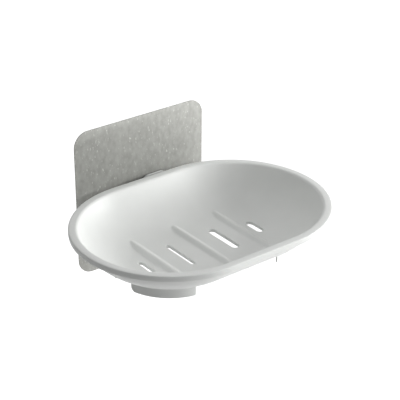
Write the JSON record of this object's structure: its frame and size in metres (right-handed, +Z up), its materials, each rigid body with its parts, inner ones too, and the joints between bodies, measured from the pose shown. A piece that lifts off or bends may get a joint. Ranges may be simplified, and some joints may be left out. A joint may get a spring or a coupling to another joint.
{
  "type": "soap dish",
  "caption": "Oval soap dish with a ribbed, slotted bowl and curved feet, hung by a rail and socket on a bracket stuck to a square adhesive wall plate.",
  "frame": {"origin": "middle of the adhesive pad's flat wall face, where the plate sticks to the wall", "axes": "+Z up, +X along the wall to the right as seen from the room, +Y into the wall; the tray hangs on the -Y side"},
  "size_m": [0.14, 0.1049, 0.0814],
  "materials": {
    "adhesive": "soft translucent grey acrylic adhesive pad",
    "face_sheet": "frosted grey metallic sheet with a fine mottle",
    "bracket": "light grey moulded plastic, satin",
    "tray": "pale cool grey moulded plastic, satin"
  },
  "bodies": {
    "wall_mount": {"adhesive_pad": "adhesive", "face_sheet": "face_sheet", "hanger_bracket": "bracket"},
    "tray": {"soap_tray": "tray"}
  },
  "joints": [
    {"name": "tray_lift", "type": "slide", "parent": "wall_mount", "child": "tray", "axis": [0, 0, 1], "range_m": [0, 0.03]}
  ]
}
